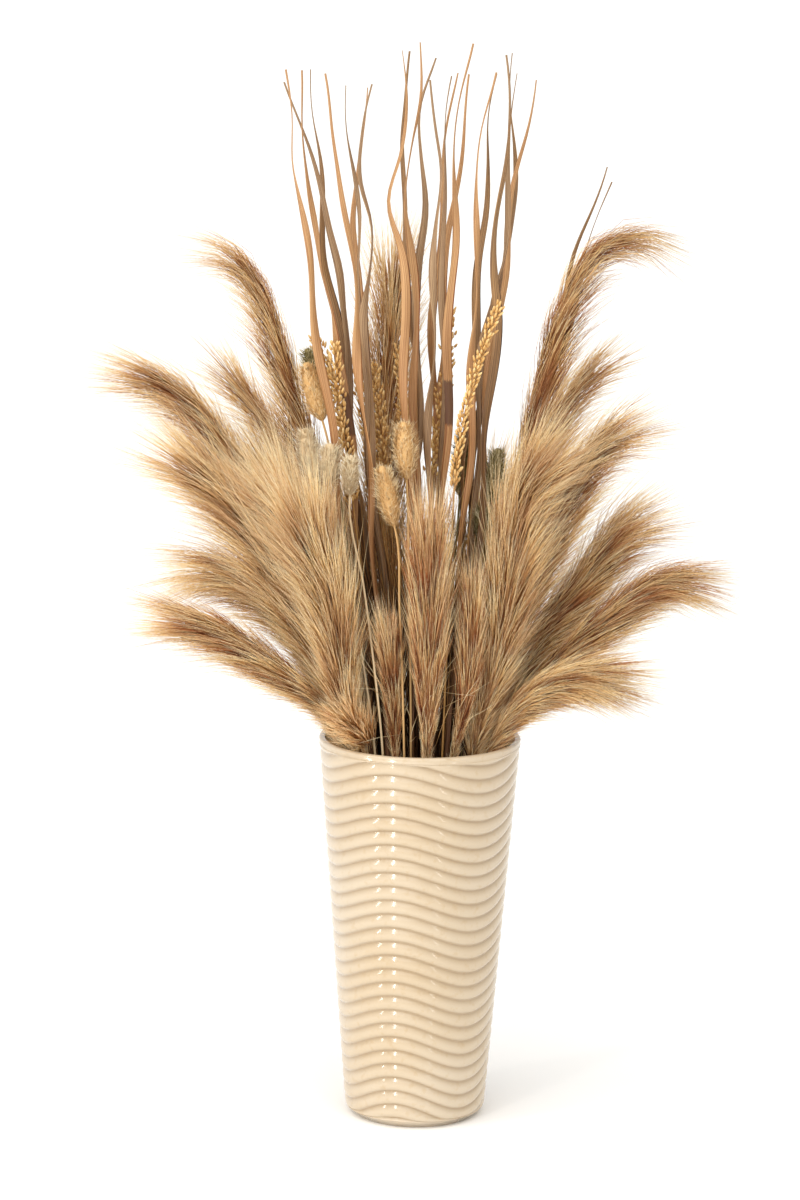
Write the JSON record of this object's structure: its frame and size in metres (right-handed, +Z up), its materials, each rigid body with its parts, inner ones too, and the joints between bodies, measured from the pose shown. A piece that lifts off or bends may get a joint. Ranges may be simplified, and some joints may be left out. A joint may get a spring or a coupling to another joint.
{
  "type": "vase of pampas grass",
  "caption": "Tall tapered ceramic vase with wavy ridges, holding a dried arrangement of pampas plumes, curly blades, bunny tails and rice sprays.",
  "frame": {"origin": "centre of the flat underside of the vase, on the surface it stands on", "axes": "+Z up along the vase's axis, -Y towards the front of the arrangement, +X to the viewer's right"},
  "size_m": [0.5607, 0.2898, 0.9711],
  "materials": {
    "glaze": "gloss",
    "dry_foam": "matte",
    "plume_fibre": "matte",
    "blade_fibre": "satin",
    "tail_fibre": "matte",
    "rice_husk": "satin"
  },
  "bodies": {
    "root": {"vase": "glaze", "foam_plug": "dry_foam", "pampas_plume_01": "plume_fibre", "pampas_plume_02": "plume_fibre", "pampas_plume_03": "plume_fibre", "pampas_plume_04": "plume_fibre", "pampas_plume_05": "plume_fibre", "pampas_plume_06": "plume_fibre", "pampas_plume_07": "plume_fibre", "pampas_plume_08": "plume_fibre", "pampas_plume_09": "plume_fibre", "pampas_plume_10": "plume_fibre", "pampas_plume_11": "plume_fibre", "pampas_plume_12": "plume_fibre", "pampas_plume_13": "plume_fibre", "pampas_plume_14": "plume_fibre", "pampas_plume_15": "plume_fibre", "pampas_plume_16": "plume_fibre", "pampas_plume_17": "plume_fibre", "pampas_plume_18": "plume_fibre", "pampas_plume_19": "plume_fibre", "pampas_plume_20": "plume_fibre", "pampas_plume_21": "plume_fibre", "pampas_plume_22": "plume_fibre", "pampas_plume_23": "plume_fibre", "curly_blade_01": "blade_fibre", "curly_blade_02": "blade_fibre", "curly_blade_03": "blade_fibre", "curly_blade_04": "blade_fibre", "curly_blade_05": "blade_fibre", "curly_blade_06": "blade_fibre", "curly_blade_07": "blade_fibre", "curly_blade_08": "blade_fibre", "curly_blade_09": "blade_fibre", "curly_blade_10": "blade_fibre", "curly_blade_11": "blade_fibre", "curly_blade_12": "blade_fibre", "curly_blade_13": "blade_fibre", "curly_blade_14": "blade_fibre", "curly_blade_15": "blade_fibre", "curly_blade_16": "blade_fibre", "curly_blade_17": "blade_fibre", "curly_blade_18": "blade_fibre", "curly_blade_19": "blade_fibre", "curly_blade_20": "blade_fibre", "bunny_tail_01": "tail_fibre", "bunny_tail_02": "tail_fibre", "bunny_tail_03": "tail_fibre", "bunny_tail_04": "tail_fibre", "bunny_tail_05": "tail_fibre", "bunny_tail_06": "tail_fibre", "bunny_tail_07": "tail_fibre", "bunny_tail_08": "tail_fibre", "rice_spray_01": "rice_husk", "rice_spray_02": "rice_husk", "rice_spray_03": "rice_husk", "rice_spray_04": "rice_husk", "rice_spray_05": "rice_husk", "rice_spray_06": "rice_husk", "rice_spray_07": "rice_husk"}
  },
  "joints": []
}
